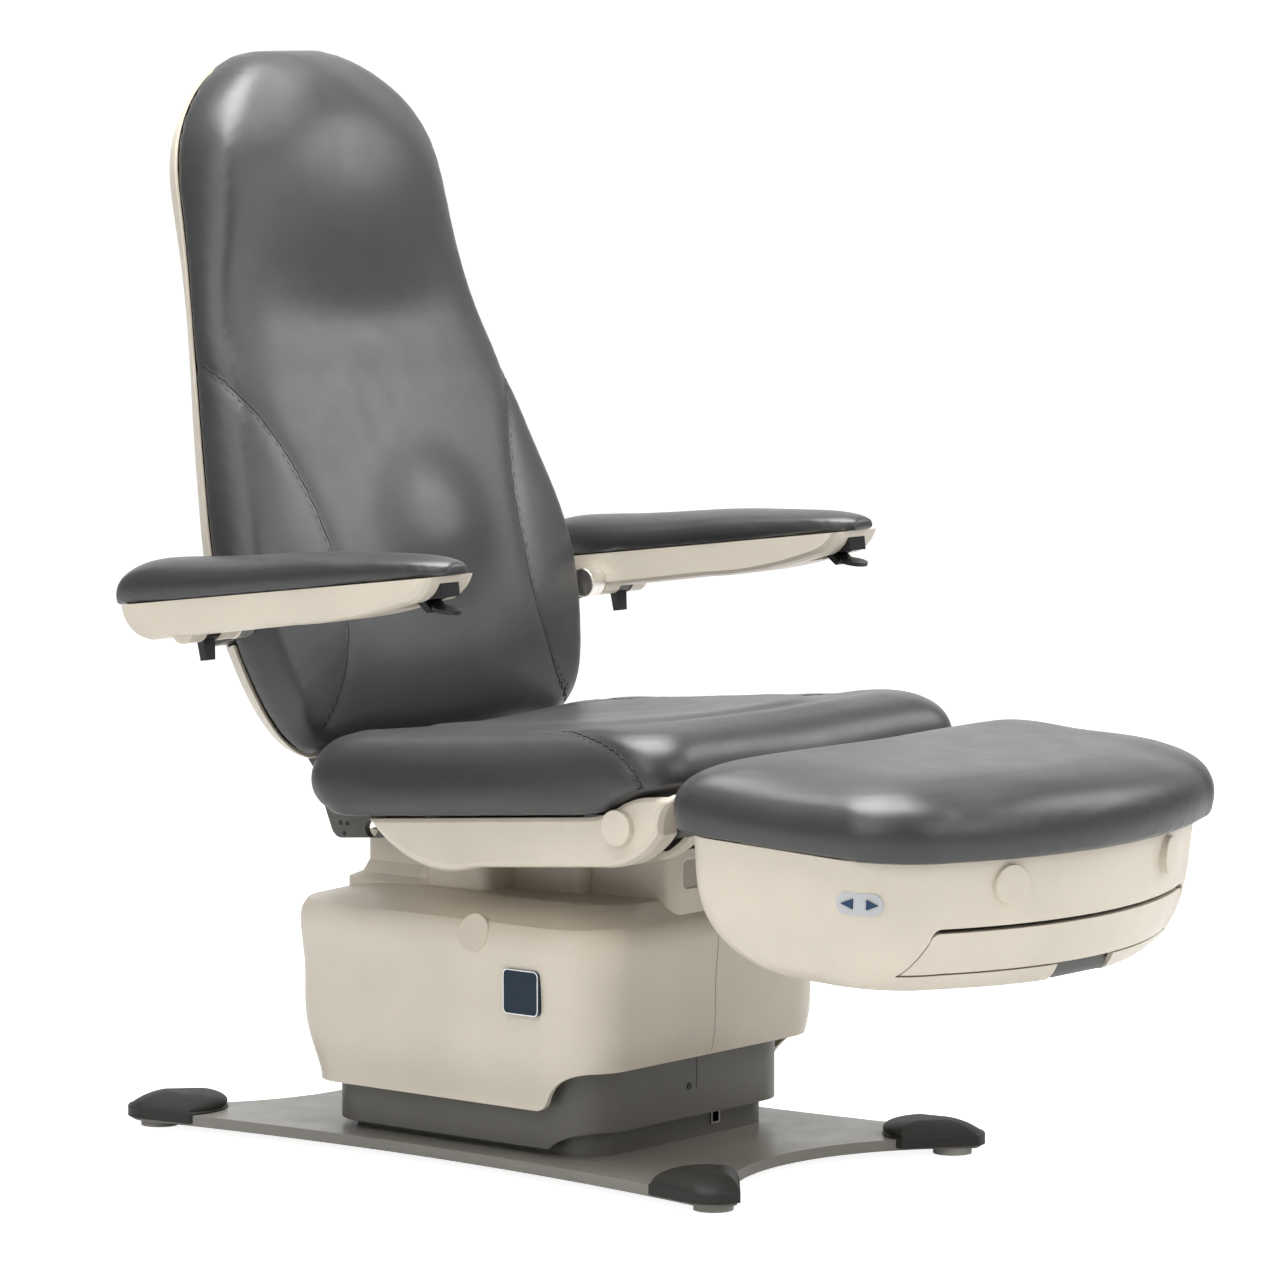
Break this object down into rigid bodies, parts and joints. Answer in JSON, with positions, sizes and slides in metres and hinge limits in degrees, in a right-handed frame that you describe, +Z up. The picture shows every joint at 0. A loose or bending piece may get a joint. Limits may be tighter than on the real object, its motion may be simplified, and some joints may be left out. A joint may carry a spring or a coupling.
{
  "type": "powered procedure chair",
  "caption": "Powered procedure chair: lifting column with telescoping covers, padded seat, reclining back with swing-up arms, and a leg section that tilts, extends and holds a drawer.",
  "frame": {"origin": "centre of the overall footprint, on the floor under the levelling feet", "axes": "+Z up, -Y the way a sitting person faces, +X to that person's left"},
  "size_m": [0.7778, 1.2055, 1.1848],
  "materials": {
    "base_paint": "satin",
    "cover_grey": "satin",
    "dark_plastic": "matte",
    "black_plastic": "satin",
    "beige_plastic": "satin",
    "vinyl": "satin",
    "foot_pad": "matte",
    "steel": "brushed",
    "frame_steel": "satin",
    "window_glass": "gloss",
    "handle_grey": "satin",
    "button_face": "satin",
    "button_cap": "satin",
    "badge_blue": "gloss"
  },
  "bodies": {
    "base": {"base_plate": "base_paint", "levelling_feet": "foot_pad", "foot_cover_front_right": "dark_plastic", "foot_cover_front_left": "dark_plastic", "foot_cover_rear_right": "dark_plastic", "foot_cover_rear_left": "dark_plastic", "lower_cover": "cover_grey", "data_jack": "black_plastic", "column_outer_tube": "steel", "lift_spindle": "steel", "lift_motor": "frame_steel", "control_box": "black_plastic"},
    "second_cover": {"second_cover": "cover_grey"},
    "mid_cover": {"mid_cover_right": "cover_grey", "mid_cover_left": "cover_grey"},
    "column_middle": {"column_middle_tube": "steel", "hollow_screw": "steel"},
    "carriage": {"main_cover_right": "beige_plastic", "main_cover_left": "beige_plastic", "shoulder_caps": "beige_plastic", "badge_plates": "badge_blue", "window_trim": "black_plastic", "window_panel": "window_glass", "column_inner_tube": "steel", "lift_nut": "steel", "tilt_yoke": "frame_steel", "tilt_pin": "steel", "tilt_motor": "frame_steel"},
    "seat": {"seat_frame": "frame_steel", "seat_cushion": "vinyl", "seat_fairing_right": "beige_plastic", "seat_fairing_left": "beige_plastic", "seat_caps": "beige_plastic", "back_pivot_pin": "steel", "back_motor": "frame_steel", "leg_pivot_pin": "steel", "leg_motor": "frame_steel"},
    "back": {"back_frame": "frame_steel", "back_shell": "beige_plastic", "back_cushion": "vinyl", "arm_axles": "steel"},
    "arm_right": {"arm_shell_right": "beige_plastic", "arm_pad_right": "vinyl"},
    "arm_left": {"arm_shell_left": "beige_plastic", "arm_pad_left": "vinyl"},
    "arm_lever_right": {"arm_lever_right": "black_plastic"},
    "arm_lever_left": {"arm_lever_left": "black_plastic"},
    "arm_lock_right": {"arm_lock_right": "black_plastic"},
    "arm_lock_left": {"arm_lock_left": "black_plastic"},
    "leg": {"leg_frame": "frame_steel", "extension_motor": "frame_steel"},
    "footrest": {"leg_tub": "beige_plastic", "leg_cushion": "vinyl", "tub_caps": "beige_plastic", "button_plate": "button_face"},
    "drawer": {"drawer": "beige_plastic", "drawer_handle": "handle_grey"},
    "button_retract": {"button_retract": "button_cap"},
    "button_extend": {"button_extend": "button_cap"}
  },
  "joints": [
    {"name": "lift", "type": "slide", "parent": "base", "child": "carriage", "axis": [0, 0, 1], "range_m": [0, 0.4]},
    {"name": "second_cover_slide", "type": "slide", "parent": "base", "child": "second_cover", "axis": [0, 0, 1], "range_m": [0, 0.13333]},
    {"name": "mid_cover_slide", "type": "slide", "parent": "base", "child": "mid_cover", "axis": [0, 0, 1], "range_m": [0, 0.26667]},
    {"name": "column_middle_slide", "type": "slide", "parent": "base", "child": "column_middle", "axis": [0, 0, 1], "range_m": [0, 0.2]},
    {"name": "seat_tilt", "type": "hinge", "parent": "carriage", "child": "seat", "pos_m": [0, 0.2613, 0.35], "axis": [-1, 0, 0], "range_deg": [0, 20]},
    {"name": "back_recline", "type": "hinge", "parent": "seat", "child": "back", "pos_m": [0, 0.32361, 0.39675], "axis": [-1, 0, 0], "range_deg": [0, 68]},
    {"name": "leg_lift", "type": "hinge", "parent": "seat", "child": "leg", "pos_m": [0, -0.21184, 0.40344], "axis": [-1, 0, 0], "range_deg": [-50, 0]},
    {"name": "footrest_extend", "type": "slide", "parent": "leg", "child": "footrest", "axis": [0, -0.9991, -0.0419], "range_m": [0, 0.15]},
    {"name": "drawer_slide", "type": "slide", "parent": "footrest", "child": "drawer", "axis": [0, -0.9991, -0.0419], "range_m": [0, 0.17]},
    {"name": "arm_swing_right", "type": "hinge", "parent": "back", "child": "arm_right", "pos_m": [-0.345, 0.3463, 0.577], "axis": [-1, 0, 0], "range_deg": [-68, 95]},
    {"name": "arm_lever_right_pull", "type": "hinge", "parent": "arm_right", "child": "arm_lever_right", "pos_m": [-0.345, 0.04088, 0.63272], "axis": [-1, 0, 0], "range_deg": [0, 10], "stiffness_Nm_per_rad": 2, "springref_deg": -5.73},
    {"name": "arm_lock_right_turn", "type": "hinge", "parent": "arm_right", "child": "arm_lock_right", "pos_m": [-0.345, 0.3463, 0.577], "axis": [-1, 0, 0], "range_deg": [0, 6], "stiffness_Nm_per_rad": 2, "springref_deg": -5.73},
    {"name": "arm_swing_left", "type": "hinge", "parent": "back", "child": "arm_left", "pos_m": [0.345, 0.3463, 0.577], "axis": [-1, 0, 0], "range_deg": [-68, 95]},
    {"name": "arm_lever_left_pull", "type": "hinge", "parent": "arm_left", "child": "arm_lever_left", "pos_m": [0.345, 0.04088, 0.63272], "axis": [-1, 0, 0], "range_deg": [0, 10], "stiffness_Nm_per_rad": 2, "springref_deg": -5.73},
    {"name": "arm_lock_left_turn", "type": "hinge", "parent": "arm_left", "child": "arm_lock_left", "pos_m": [0.345, 0.3463, 0.577], "axis": [-1, 0, 0], "range_deg": [0, 6], "stiffness_Nm_per_rad": 2, "springref_deg": -5.73},
    {"name": "button_retract_press", "type": "slide", "parent": "footrest", "child": "button_retract", "axis": [0.9169, 0.3987, 0.0167], "range_m": [0, 0.0012], "stiffness_N_per_m": 800, "springref_m": -0.001},
    {"name": "button_extend_press", "type": "slide", "parent": "footrest", "child": "button_extend", "axis": [0.9169, 0.3987, 0.0167], "range_m": [0, 0.0012], "stiffness_N_per_m": 800, "springref_m": -0.001}
  ],
  "couplings": [
    {"joint": "second_cover_slide", "follows": "lift", "ratio": 0.33333},
    {"joint": "mid_cover_slide", "follows": "lift", "ratio": 0.66667},
    {"joint": "column_middle_slide", "follows": "lift", "ratio": 0.5}
  ]
}
